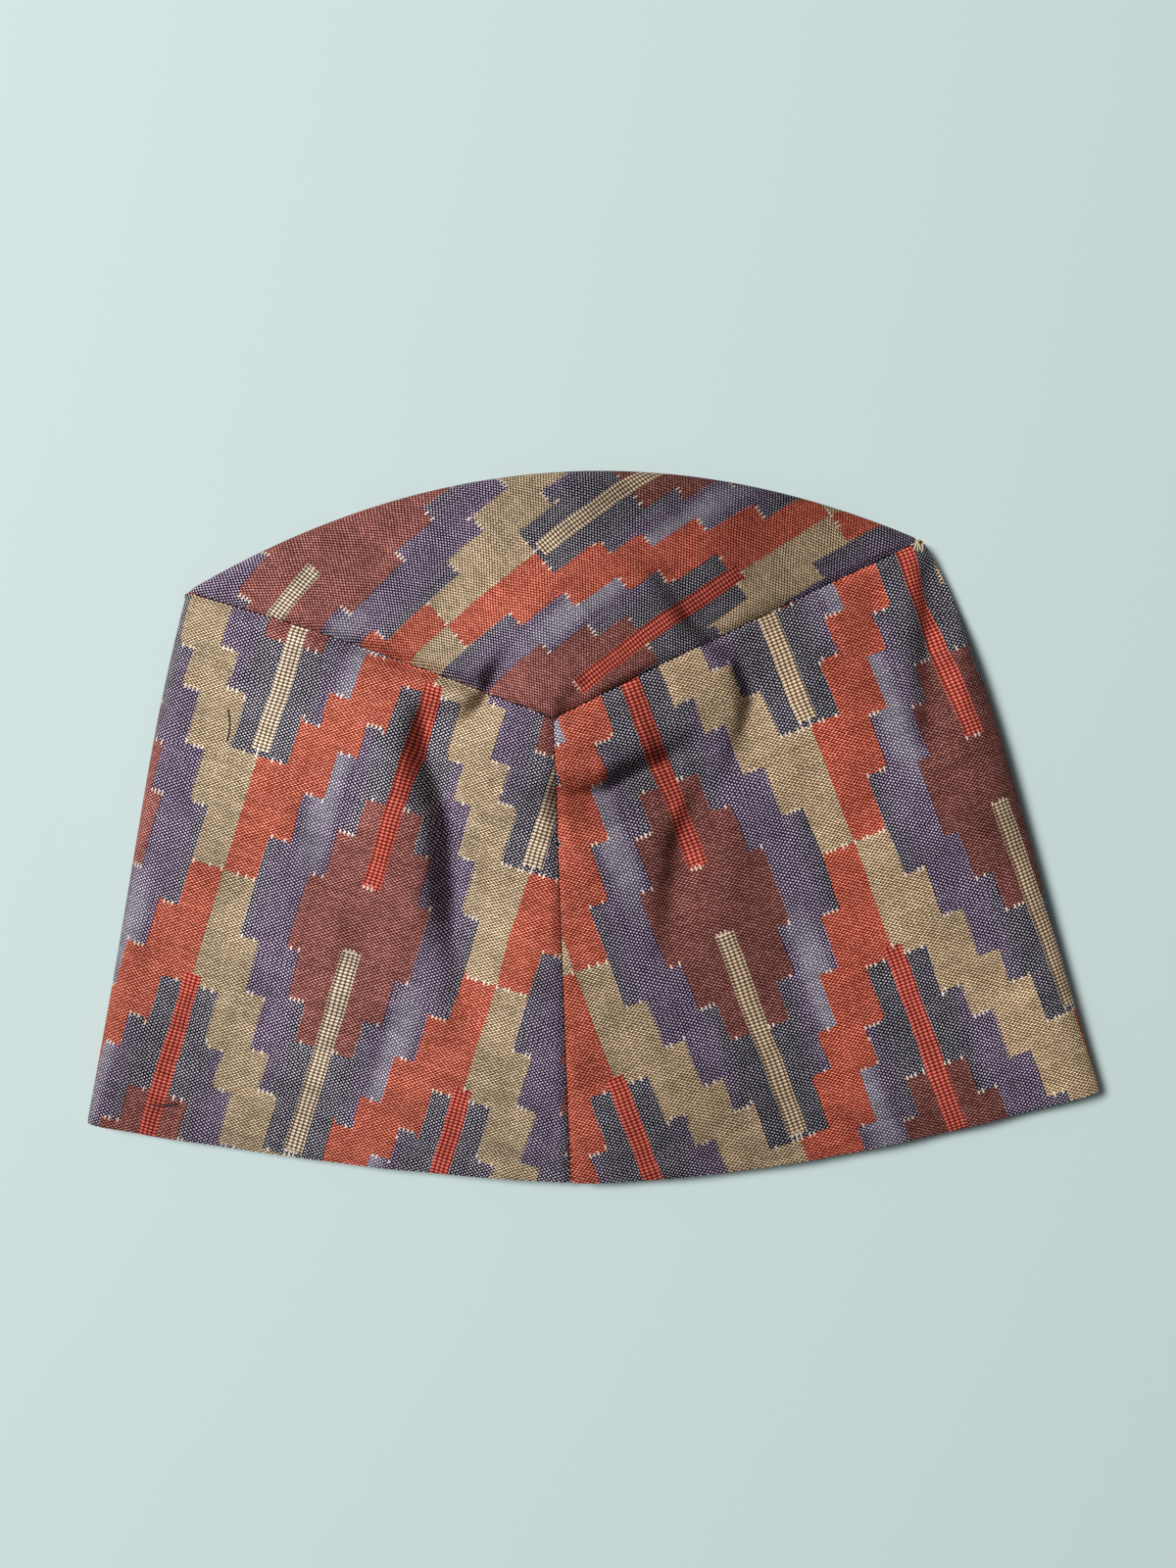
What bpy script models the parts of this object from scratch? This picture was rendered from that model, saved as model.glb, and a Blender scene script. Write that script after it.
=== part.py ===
"""Dhaka topi lying flat on its tall side: two band panels and a lens-shaped crown of cotton cloth.

Seen from above, the front centre seam runs along +Y from the hem to the point of the crown seam.
Each band panel is one cloth wall: it runs from the front centre seam out to the side fold, turns
round it, and lies flat underneath as far as the back centre seam. The crown closes the top between
the V of the front and the arc of the back. The mouth is open at the hem.
"""
import math
from collections import namedtuple

import bmesh
import bpy

# Cloth and seams, in metres.
CLOTH = 0.0016
SEAM_GAP = 0.0003

# Plan of the flattened cap. X = 0 is the front centre seam and Y = 0 its foot at the hem.
HEM_LOW_X = 0.0100
HEM_LOW_Y = -0.0009
CROWN_POINT_Y = 0.1249
CROWN_ARC_RISE = 0.0256

# Edge of each side fold: corner at the hem, corner at the crown, and the outward bow between them.
Side = namedtuple("Side", "name sign hem_x hem_y hem_power crown_x crown_y bow bow_place bow_fullness seam_bow")
LEFT = Side("left_band_panel", -1, -0.1311, 0.0200, 1.45, -0.0987, 0.1632, 0.0014, 2.2, 1.0, 0.0016)
RIGHT = Side("right_band_panel", 1, 0.1448, 0.0190, 1.75, 0.1017, 0.1698, 0.0044, 2.2, 0.6, 0.0005)

# The plan is moved so that the middle of its outline comes to the origin.
MIDDLE_X = (LEFT.hem_x + RIGHT.hem_x) / 2
MIDDLE_Y = 0.0957

# Height of the outermost line of the folds above the table, and how far in from it the roll reaches.
FOLD_HEIGHT_LEFT = 0.0038
FOLD_HEIGHT_RIGHT = 0.0052
UPPER_ROLL_WIDTH_TO_RISE = 1.5
MEETING_SHARPNESS = 4

# The walls lean in towards each other across the arc seam, so their outer edges stand further apart.
ARC_SEAM_GAP = 0.0012

# Height of the upper side: a level, broad swellings on it, and valleys pressed into it.
UPPER_LEVEL = 0.0085
Swelling = namedtuple("Swelling", "x y half_x half_y height")
SWELLINGS = (
    Swelling(0.020, 0.085, 0.085, 0.060, 0.0090),
    Swelling(0.095, 0.120, 0.035, 0.045, 0.0030),
    Swelling(-0.075, 0.100, 0.030, 0.050, 0.0020),
    Swelling(0.008, 0.152, 0.030, 0.018, 0.0040),
)
Valley = namedtuple("Valley", "start_x start_y end_x end_y half_width depth")
VALLEYS = (
    Valley(-0.036, 0.127, -0.032, 0.062, 0.0110, 0.0050),
    Valley(-0.021, 0.135, -0.008, 0.146, 0.0070, 0.0045),
    Valley(-0.013, 0.108, 0.009, 0.105, 0.0090, 0.0025),
    Valley(0.009, 0.105, 0.036, 0.117, 0.0090, 0.0025),
    Valley(0.030, 0.098, 0.031, 0.064, 0.0100, 0.0020),
    Valley(0.101, 0.152, 0.097, 0.115, 0.0100, 0.0030),
)

# Grid of each cloth: spaces round the roll are finer than those on the open cloth.
UPPER_ROLL = 0.0120
FRONT_COLUMNS = 25
BACK_COLUMNS = 9
ROWS = 23
CROWN_COLUMNS = 40
CROWN_ROWS = 11
ROLL_COLUMNS = 6
ROLL_ROWS = 4
CROWN_END = 0.0040

# Finish of each piece: colour, roughness.
Finish = namedtuple("Finish", "colour roughness")
BAND_FINISH = Finish((0.115, 0.092, 0.150, 1.0), 0.85)
CROWN_FINISH = Finish((0.170, 0.085, 0.110, 1.0), 0.85)


def between(first, last, share):
    return first + (last - first) * share


def hem_y(x):
    """Y of the hem: two power curves that leave the lowest point on either side."""
    side = LEFT if x < HEM_LOW_X else RIGHT
    share = abs(x - HEM_LOW_X) / abs(side.hem_x - HEM_LOW_X)
    return between(HEM_LOW_Y, side.hem_y, share ** side.hem_power)


def crown_seam_y(x):
    """Y of the V-shaped seam under the crown, each branch slightly bowed up."""
    side = LEFT if x < 0 else RIGHT
    share = x / side.crown_x
    return between(CROWN_POINT_Y, side.crown_y, share) + side.seam_bow * math.sin(math.pi * share)


def crown_arc_y(x):
    """Y of the arc along the back of the crown."""
    share = (x - LEFT.crown_x) / (RIGHT.crown_x - LEFT.crown_x)
    return between(LEFT.crown_y, RIGHT.crown_y, share) + 4 * CROWN_ARC_RISE * share * (1 - share)


def fold_bow(side, share):
    """Outward bow of a side fold at a share of its height."""
    inside = min(max(share, 0.0), 1.0)
    return side.bow * max(math.sin(math.pi * inside ** side.bow_place), 0.0) ** side.bow_fullness


def fold_x(side, y):
    share = (y - side.hem_y) / (side.crown_y - side.hem_y)
    return between(side.hem_x, side.crown_x, share) + side.sign * fold_bow(side, share)


def soft_least(values):
    """Smallest of some positive values, rounded where two of them are alike."""
    floor = 0.0001
    total = sum(max(value, floor) ** -MEETING_SHARPNESS for value in values)
    return total ** (-1 / MEETING_SHARPNESS)


def roll(x, y, reach):
    """Share of the way up the rounded edge: 0 on the outline, 1 beyond the reach from it."""
    gaps = (x - fold_x(LEFT, y), fold_x(RIGHT, y) - x, crown_arc_y(x) - y)
    nearness = min(soft_least([gap / reach for gap in gaps]), 1.0)
    return math.sqrt(1 - (1 - nearness) ** 2)


def fold_height(x):
    share = (x - LEFT.hem_x) / (RIGHT.hem_x - LEFT.hem_x)
    return between(FOLD_HEIGHT_LEFT, FOLD_HEIGHT_RIGHT, share)


def distance_to_line(x, y, valley):
    run_x = valley.end_x - valley.start_x
    run_y = valley.end_y - valley.start_y
    along = ((x - valley.start_x) * run_x + (y - valley.start_y) * run_y) / (run_x ** 2 + run_y ** 2)
    along = min(max(along, 0.0), 1.0)
    return math.hypot(x - valley.start_x - along * run_x, y - valley.start_y - along * run_y)


def crest(x, y):
    """Height of the upper side away from its edges."""
    height = UPPER_LEVEL
    for swelling in SWELLINGS:
        off_x = (x - swelling.x) / swelling.half_x
        off_y = (y - swelling.y) / swelling.half_y
        height += swelling.height * math.exp(-off_x ** 2 - off_y ** 2)
    for valley in VALLEYS:
        off = distance_to_line(x, y, valley) / valley.half_width
        height -= valley.depth * math.exp(-off ** 2)
    return height


def upper_z(x, y, lift=0.0):
    edge = fold_height(x) + lift
    top = crest(x, y)
    return between(edge, top, roll(x, y, UPPER_ROLL_WIDTH_TO_RISE * (top - edge)))


def lower_z(x, y):
    edge = fold_height(x)
    return edge * (1 - roll(x, y, edge))


def spacing(share, fine_share, fine_reach):
    """Turn even steps into steps that are close on the roll and even on the open cloth."""
    if share < fine_share:
        return fine_reach * (1 - math.cos(share / fine_share * math.pi / 2))
    return between(fine_reach, 1.0, (share - fine_share) / (1 - fine_share))


def shape_cloth(name, columns, rows, place, finish):
    """Move a flat grid to its place and give it the cloth's thickness inwards."""
    mesh = bpy.data.meshes.new(name)
    grid = bmesh.new()
    bmesh.ops.create_grid(grid, x_segments=columns, y_segments=rows, size=1.0)
    for vertex in grid.verts:
        x, y, z = place((vertex.co.x + 1) / 2, (vertex.co.y + 1) / 2)
        vertex.co = (x - MIDDLE_X, y - MIDDLE_Y, z)
    grid.normal_update()
    grid.to_mesh(mesh)
    grid.free()
    mesh.shade_smooth()
    piece = bpy.data.objects.new(name, mesh)
    wall = piece.modifiers.new("cloth", "SOLIDIFY")
    wall.thickness = CLOTH
    wall.offset = -1.0
    wall.use_even_offset = True
    mesh.materials.append(cloth_material(name + "_cloth", finish))
    return piece


def cloth_material(name, finish):
    material = bpy.data.materials.new(name)
    material.use_nodes = True
    shader = material.node_tree.nodes["Principled BSDF"]
    shader.inputs["Base Color"].default_value = finish.colour
    shader.inputs["Roughness"].default_value = finish.roughness
    shader.inputs["Metallic"].default_value = 0.0
    return material


def band_panel(side):
    """Cloth from the back centre seam, round the side fold, to the front centre seam."""
    columns = BACK_COLUMNS + FRONT_COLUMNS
    seam_x = side.sign * SEAM_GAP / 2

    def place(across, up):
        along = across if side is LEFT else 1 - across
        column = along * columns
        is_front = column >= BACK_COLUMNS
        if is_front:
            share = (column - BACK_COLUMNS) / FRONT_COLUMNS
            inward = spacing(share, ROLL_COLUMNS / FRONT_COLUMNS, UPPER_ROLL / abs(side.hem_x))
        else:
            share = 1 - column / BACK_COLUMNS
            edge = fold_height(side.hem_x)
            inward = spacing(share, ROLL_ROWS / BACK_COLUMNS, edge / abs(side.hem_x))
        foot_x = between(side.hem_x, seam_x, inward)
        top_x = between(side.crown_x, seam_x, inward)
        foot_y = hem_y(foot_x)
        top_y = crown_seam_y(top_x) if is_front else crown_arc_y(top_x)
        length = math.hypot(top_x - foot_x, top_y - foot_y)
        height = 1 - spacing(1 - up, ROLL_ROWS / ROWS, fold_height(top_x) / length)
        x = between(foot_x, top_x, height) + side.sign * fold_bow(side, height) * (1 - inward) ** 2
        y = between(foot_y, top_y, height)
        return x, y, upper_z(x, y) if is_front else lower_z(x, y)

    return shape_cloth(side.name, columns, ROWS, place, BAND_FINISH)


def crown():
    """Lens of cloth between the V seam of the front and the arc of the back."""
    first_x = LEFT.crown_x + CROWN_END
    last_x = RIGHT.crown_x - CROWN_END

    def place(across, up):
        x = between(first_x, last_x, across)
        low = crown_seam_y(x) + SEAM_GAP
        high = crown_arc_y(x)
        fine_reach = min(UPPER_ROLL / (high - low), ROLL_COLUMNS / CROWN_ROWS)
        y = between(low, high, 1 - spacing(1 - up, ROLL_COLUMNS / CROWN_ROWS, fine_reach))
        return x, y, upper_z(x, y, ARC_SEAM_GAP)

    return shape_cloth("crown", CROWN_COLUMNS, CROWN_ROWS, place, CROWN_FINISH)


def main():
    for item in list(bpy.data.objects):
        bpy.data.objects.remove(item)
    topi = bpy.data.collections.new("dhaka_topi")
    bpy.context.scene.collection.children.link(topi)
    for piece in (band_panel(LEFT), band_panel(RIGHT), crown()):
        topi.objects.link(piece)


main()
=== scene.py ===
import math
from collections import namedtuple

import bpy
import numpy as np
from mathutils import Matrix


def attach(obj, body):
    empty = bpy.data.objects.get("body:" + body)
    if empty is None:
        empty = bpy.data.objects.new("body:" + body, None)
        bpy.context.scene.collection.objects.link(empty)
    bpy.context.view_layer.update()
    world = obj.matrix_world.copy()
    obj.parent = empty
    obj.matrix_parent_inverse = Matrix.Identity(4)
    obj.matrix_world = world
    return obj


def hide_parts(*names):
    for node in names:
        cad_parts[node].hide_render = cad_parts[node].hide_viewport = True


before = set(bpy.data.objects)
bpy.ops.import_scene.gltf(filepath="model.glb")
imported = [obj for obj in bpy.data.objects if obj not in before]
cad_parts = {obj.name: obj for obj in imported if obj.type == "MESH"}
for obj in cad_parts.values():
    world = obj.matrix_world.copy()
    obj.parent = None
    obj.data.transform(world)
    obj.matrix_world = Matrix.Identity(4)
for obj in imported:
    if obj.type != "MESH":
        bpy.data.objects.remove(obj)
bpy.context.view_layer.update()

MM = 0.001

# The cloth and its outline, in the sizes of the pattern pieces (metres).
# X = 0 is the front centre seam and Y = 0 its foot at the hem.
CLOTH = 0.0016
SEAM_GAP = 0.0003
ARC_SEAM_GAP = 0.0012
HEM_LOW_X = 0.0100
HEM_LOW_Y = -0.0009
CROWN_POINT_Y = 0.1249
CROWN_ARC_RISE = 0.0256
CROWN_END = 0.0018
Side = namedtuple(
    "Side",
    "name sign hem_x hem_y hem_power crown_x crown_y bow bow_place bow_fullness seam_bow",
)
LEFT = Side("left_band_panel", -1, -0.1311, 0.0200, 1.45, -0.0987, 0.1632, 0.0014, 2.2, 1.0, 0.0016)
RIGHT = Side("right_band_panel", 1, 0.1448, 0.0190, 1.75, 0.1017, 0.1698, 0.0044, 2.2, 0.6, 0.0005)
MIDDLE_X = (LEFT.hem_x + RIGHT.hem_x) / 2
MIDDLE_Y = 0.0957
FOLD_HEIGHT_LEFT = 0.0038
FOLD_HEIGHT_RIGHT = 0.0052
UPPER_ROLL_WIDTH_TO_RISE = 1.5
UPPER_ROLL = 0.0120
MEETING_SHARPNESS = 4
LEAST_GAP = 0.0001
UPPER_LEVEL = 0.0085

# Broad swellings of the upper side, then the valleys pressed into it.
Swelling = namedtuple("Swelling", "x y half_x half_y height")
SWELLINGS = (
    Swelling(0.020, 0.085, 0.085, 0.060, 0.0090),
    Swelling(0.095, 0.120, 0.035, 0.045, 0.0030),
    Swelling(-0.075, 0.100, 0.030, 0.050, 0.0020),
    Swelling(0.008, 0.152, 0.030, 0.018, 0.0040),
    Swelling(0.037, 0.131, 0.010, 0.010, 0.0022),
    Swelling(-0.043, 0.110, 0.007, 0.020, 0.0024),
)
# A valley runs through the turns of its path, each with its depth there; its two half widths are those of
# its left and right side, looking along it.
Turn = namedtuple("Turn", "x y depth")
Valley = namedtuple("Valley", "left right path")
LEFT_TROUGH = (
    Turn(-0.0346, 0.1240, 0.0080),
    Turn(-0.0345, 0.1170, 0.0094),
    Turn(-0.0320, 0.1100, 0.0100),
    Turn(-0.0295, 0.1020, 0.0106),
    Turn(-0.0291, 0.0860, 0.0108),
    Turn(-0.0292, 0.0740, 0.0096),
    Turn(-0.0275, 0.0640, 0.0050),
    Turn(-0.0265, 0.0500, 0.0024),
)
PIT = (
    Turn(-0.0247, 0.1235, 0.0024),
    Turn(-0.0186, 0.1310, 0.0074),
    Turn(-0.0166, 0.1355, 0.0074),
    Turn(-0.0125, 0.1410, 0.0030),
)
ARCHED_TROUGH = (
    Turn(-0.0040, 0.1038, 0.0014),
    Turn(0.0030, 0.1035, 0.0058),
    Turn(0.0090, 0.1033, 0.0080),
    Turn(0.0135, 0.1040, 0.0092),
    Turn(0.0185, 0.1072, 0.0098),
    Turn(0.0240, 0.1100, 0.0090),
    Turn(0.0285, 0.1115, 0.0088),
    Turn(0.0350, 0.1150, 0.0064),
    Turn(0.0400, 0.1200, 0.0014),
)
BULGE_EDGE = (
    Turn(0.0325, 0.1605, 0.0034),
    Turn(0.0395, 0.1510, 0.0070),
    Turn(0.0460, 0.1445, 0.0046),
    Turn(0.0515, 0.1395, 0.0064),
    Turn(0.0542, 0.1295, 0.0084),
    Turn(0.0525, 0.1215, 0.0056),
    Turn(0.0485, 0.1125, 0.0036),
    Turn(0.0440, 0.1060, 0.0012),
)
LONG_TROUGH = (
    Turn(0.0372, 0.1000, 0.0040),
    Turn(0.0327, 0.0900, 0.0060),
    Turn(0.0302, 0.0750, 0.0034),
    Turn(0.0290, 0.0640, 0.0012),
)
RIGHT_CREASE = (
    Turn(0.1045, 0.1590, 0.0050),
    Turn(0.1032, 0.1400, 0.0062),
    Turn(0.1015, 0.1180, 0.0034),
)
CORNER_FALL = (
    Turn(0.1150, 0.1690, 0.0058),
    Turn(0.1150, 0.1540, 0.0040),
)
BULGE_CREASE = (
    Turn(0.0250, 0.1285, 0.0016),
    Turn(0.0285, 0.1180, 0.0032),
    Turn(0.0310, 0.1120, 0.0020),
)
BULGE_UNDERSIDE = (
    Turn(-0.0040, 0.1030, 0.0016),
    Turn(0.0100, 0.1040, 0.0030),
    Turn(0.0220, 0.1090, 0.0020),
)
RIGHT_HOLLOW = (
    Turn(0.0900, 0.1570, 0.0020),
    Turn(0.0870, 0.0950, 0.0020),
)
POINT_CREASE = (
    Turn(0.0040, 0.1290, 0.0026),
    Turn(0.0090, 0.1330, 0.0026),
)
LEFT_SEAM_GROOVE = (
    Turn(-0.0700, 0.1534, 0.0016),
    Turn(-0.0400, 0.1419, 0.0034),
    Turn(-0.0220, 0.1345, 0.0036),
)
VALLEYS = (
    Valley(0.0100, 0.0041, LEFT_TROUGH),
    Valley(0.0026, 0.0045, PIT),
    Valley(0.0038, 0.0080, ARCHED_TROUGH),
    Valley(0.0080, 0.0034, BULGE_EDGE),
    Valley(0.0080, 0.0038, LONG_TROUGH),
    Valley(0.0060, 0.0048, RIGHT_CREASE),
    Valley(0.0110, 0.0110, CORNER_FALL),
    Valley(0.0060, 0.0028, BULGE_CREASE),
    Valley(0.0110, 0.0050, BULGE_UNDERSIDE),
    Valley(0.0080, 0.0080, RIGHT_HOLLOW),
    Valley(0.0025, 0.0035, POINT_CREASE),
    Valley(0.0022, 0.0022, LEFT_SEAM_GROOVE),
)

# Slight waves of the cloth: radians for each metre across and up, where they start, and height.
Ripple = namedtuple("Ripple", "across up start height")
RIPPLES = (
    Ripple(230.0, 60.0, 0.4, 0.00026),
    Ripple(95.0, -170.0, 1.9, 0.00024),
    Ripple(-310.0, 150.0, 3.1, 0.00012),
)

# The cloth rolls down into each seam and at the hem, falls a little towards the hem, and stands over the
# crown's seam right of the pit.
SEAM_ROLL = 0.0011
SEAM_ROLL_REACH = 0.0013
HEM_ROLL = 0.0006
HEM_ROLL_REACH = 0.0010
HEM_FALL = 0.0016
HEM_FALL_REACH = 0.0120
OVERHANG = 0.0020
OVERHANG_X = 0.0100
OVERHANG_HALF_X = 0.0200
OVERHANG_REACH = 0.0110


def between(first, last, share):
    return first + (last - first) * share


def hem_branch(side, x):
    share = np.abs(x - HEM_LOW_X) / abs(side.hem_x - HEM_LOW_X)
    return between(HEM_LOW_Y, side.hem_y, share ** side.hem_power)


def hem_y(x):
    return np.where(x < HEM_LOW_X, hem_branch(LEFT, x), hem_branch(RIGHT, x))


def crown_seam_branch(side, x):
    share = x / side.crown_x
    return between(CROWN_POINT_Y, side.crown_y, share) + side.seam_bow * np.sin(math.pi * share)


def crown_seam_y(x):
    return np.where(x < 0, crown_seam_branch(LEFT, x), crown_seam_branch(RIGHT, x))


def crown_arc_y(x):
    share = (x - LEFT.crown_x) / (RIGHT.crown_x - LEFT.crown_x)
    return between(LEFT.crown_y, RIGHT.crown_y, share) + 4 * CROWN_ARC_RISE * share * (1 - share)


def fold_bow(side, share):
    wave = np.sin(math.pi * np.clip(share, 0, 1) ** side.bow_place)
    return side.bow * np.maximum(wave, 0) ** side.bow_fullness


def fold_x(side, y):
    share = (y - side.hem_y) / (side.crown_y - side.hem_y)
    return between(side.hem_x, side.crown_x, share) + side.sign * fold_bow(side, share)


def roll(x, y, reach):
    """Share of the way up the rounded edge: 0 on the outline, 1 beyond the reach from it."""
    gaps = (x - fold_x(LEFT, y), fold_x(RIGHT, y) - x, crown_arc_y(x) - y)
    total = sum(np.maximum(gap / reach, LEAST_GAP) ** -MEETING_SHARPNESS for gap in gaps)
    nearness = np.minimum(total ** (-1 / MEETING_SHARPNESS), 1)
    return np.sqrt(1 - (1 - nearness) ** 2)


def fold_height(x):
    return between(FOLD_HEIGHT_LEFT, FOLD_HEIGHT_RIGHT, (x - LEFT.hem_x) / (RIGHT.hem_x - LEFT.hem_x))


def valley_depth(x, y, valley):
    """How deep a valley is at a place: the deepest of its straight runs, fading out beside them."""
    deepest = np.zeros_like(x)
    for start, end in zip(valley.path, valley.path[1:]):
        run = math.hypot(end.x - start.x, end.y - start.y)
        run_x = (end.x - start.x) / run
        run_y = (end.y - start.y) / run
        along = (x - start.x) * run_x + (y - start.y) * run_y
        aside = (x - start.x) * -run_y + (y - start.y) * run_x
        on_run = np.clip(along, 0, run)
        width = np.where(aside > 0, valley.left, valley.right)
        fade = (aside / width) ** 2 + (2 * (along - on_run) / (valley.left + valley.right)) ** 2
        deepest = np.maximum(deepest, between(start.depth, end.depth, on_run / run) * np.exp(-fade))
    return deepest


def crest(x, y):
    """Height of the upper side away from its edges."""
    height = np.full_like(x, UPPER_LEVEL)
    for swelling in SWELLINGS:
        off_x = (x - swelling.x) / swelling.half_x
        off_y = (y - swelling.y) / swelling.half_y
        height = height + swelling.height * np.exp(-off_x ** 2 - off_y ** 2)
    for valley in VALLEYS:
        height = height - valley_depth(x, y, valley)
    for ripple in RIPPLES:
        height = height + ripple.height * np.sin(ripple.across * x + ripple.up * y + ripple.start)
    return height


def upper_z(x, y, lift=0.0):
    edge = fold_height(x) + lift
    top = crest(x, y)
    return between(edge, top, roll(x, y, UPPER_ROLL_WIDTH_TO_RISE * (top - edge)))


def lower_z(x, y):
    edge = fold_height(x)
    return edge * (1 - roll(x, y, edge))


def spacing(share, fine_share, fine_reach):
    """Turn even steps into steps that are close on the roll and even on the open cloth."""
    fine = fine_reach * (1 - np.cos(np.minimum(share / fine_share, 1) * math.pi / 2))
    even = between(fine_reach, 1, (share - fine_share) / (1 - fine_share))
    return np.where(share < fine_share, fine, even)


def seam_dip(distance):
    return SEAM_ROLL * np.exp(-(distance / SEAM_ROLL_REACH) ** 2)


def hem_sink(x, y):
    """How far the upper side's hem lies below the open cloth; it fades out towards the side folds."""
    above = y - hem_y(x)
    turned = HEM_ROLL * np.exp(-(above / HEM_ROLL_REACH) ** 2)
    fallen = HEM_FALL * np.exp(-(above / HEM_FALL_REACH) ** 2)
    inward = np.minimum(x - fold_x(LEFT, y), fold_x(RIGHT, y) - x)
    return turned + fallen * (1 - np.exp(-np.maximum(inward, 0) / HEM_FALL_REACH))


def overhang(x, y):
    """The crown's cloth standing over its seam right of the pit."""
    rise = np.exp(-((x - OVERHANG_X) / OVERHANG_HALF_X) ** 4)
    above = (y - crown_seam_y(x)) / OVERHANG_REACH
    return OVERHANG * rise * np.exp(-above ** 2)


# Where the woven pattern lies on each piece, in millimetres on the flattened cap: a crossing of the steps,
# the warp's lean from +Y there, how many degrees it leans over for each millimetre to the left and right,
# the cloth's draw across the warp, the height of a row of steps, and the climb of the rows of motifs for
# each millimetre across.
Weave = namedtuple("Weave", "start_x start_y lean bend_left bend_right draw row_height climb")
LEFT_WEAVE = Weave(-89.7, 87.7, 19.1, 0, 0, 1.041, 13.9, -0.1025)
RIGHT_WEAVE = Weave(3.4, 57.1, -18.5, 0, 0, 1.002, 14.3, 0.0805)
CROWN_WEAVE = Weave(-27.4, 151.2, 51.0, 0.30, 0.095, 1.154, 13.2, 0.154)
LEAST_BEND = 0.0001


def woven_place(x, y, weave):
    """Millimetres across the warp, rows along it, and rows of climb for each millimetre across."""
    off_x = x / MM - weave.start_x
    off_y = y / MM - weave.start_y
    bend = np.where(off_x < 0, weave.bend_left, weave.bend_right)
    radius = 1 / np.radians(np.maximum(bend, LEAST_BEND))
    along_bend = radius * np.arctan2(off_x, radius + off_y)
    off_bend = np.hypot(off_x, radius + off_y) - radius
    lean = math.radians(weave.lean)
    across = (along_bend * math.cos(lean) - off_bend * math.sin(lean)) * weave.draw
    rise = (along_bend * math.sin(lean) + off_bend * math.cos(lean)) / weave.row_height
    return np.stack([across, rise, np.full_like(across, weave.climb / weave.row_height)], axis=-1)


def continue_weave_over_rims(mesh, outer_count, row_height):
    """Set the inner side's weave on by one thickness, so that it runs on over the rims."""
    woven = mesh.attributes["woven"]
    values = np.empty(len(mesh.vertices) * 3)
    woven.data.foreach_get("vector", values)
    values = values.reshape(-1, 3)
    values[outer_count:, 1] -= CLOTH / MM / row_height
    woven.data.foreach_set("vector", values.ravel())


# Faces that meet at less than this are shaded as one.
SMOOTHING_ANGLE = math.radians(50)


def add_cloth(name, x, y, z, woven_at, row_height):
    """A grid of cloth, one vertex for each place in the tables, thickened inwards."""
    rows, columns = x.shape
    bpy.ops.object.select_all(action="DESELECT")
    bpy.ops.mesh.primitive_grid_add(x_subdivisions=columns - 1, y_subdivisions=rows - 1, size=2)
    piece = bpy.context.active_object
    piece.name = name
    mesh = piece.data
    mesh.name = name
    flat = np.empty(len(mesh.vertices) * 3)
    mesh.vertices.foreach_get("co", flat)
    flat = flat.reshape(-1, 3)
    column = np.rint((flat[:, 0] + 1) / 2 * (columns - 1)).astype(int)
    level = np.rint((flat[:, 1] + 1) / 2 * (rows - 1)).astype(int)
    places = np.stack([x - MIDDLE_X, y - MIDDLE_Y, z], axis=-1)[level, column]
    mesh.vertices.foreach_set("co", places.ravel())
    woven = mesh.attributes.new("woven", "FLOAT_VECTOR", "POINT")
    woven.data.foreach_set("vector", woven_at[level, column].ravel())
    while mesh.uv_layers:
        mesh.uv_layers.remove(mesh.uv_layers[0])
    mesh.update()
    wall = piece.modifiers.new("wall", "SOLIDIFY")
    wall.thickness = CLOTH
    wall.offset = -1
    bpy.ops.object.modifier_apply(modifier=wall.name)
    continue_weave_over_rims(mesh, rows * columns, row_height)
    bpy.ops.object.shade_smooth_by_angle(angle=SMOOTHING_ANGLE)
    return piece


def run_over_roll(x, y, z, in_roll, axis):
    """How much further the cloth has run down or up a rounded edge than it has seen from above."""
    plan = np.hypot(np.diff(x, axis=axis), np.diff(y, axis=axis))
    further = (np.hypot(plan, np.diff(z, axis=axis)) - plan) * in_roll
    start = np.zeros_like(np.take(x, [0], axis=axis))
    return np.concatenate([start, np.cumsum(further, axis=axis)], axis=axis)


def unfolded(side, x, y, is_front, further):
    """Where the cloth of a panel lies once it is opened out flat past the side fold."""
    lean = math.atan2(side.hem_x - side.crown_x, side.crown_y - side.hem_y)
    past = (x - fold_x(side, y)) * math.cos(lean)
    out = side.sign * further - 2 * np.where(is_front, 0, past)
    return x + out * math.cos(lean), y + out * math.sin(lean)


# How many spaces each cloth's grid has, and how many of them lie on its rounded edges.
FRONT_COLUMNS = 150
BACK_COLUMNS = 40
PANEL_ROWS = 120
ROLL_COLUMNS = 16
ROLL_ROWS = 10
CROWN_COLUMNS = 240
CROWN_ROWS = 80


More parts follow.
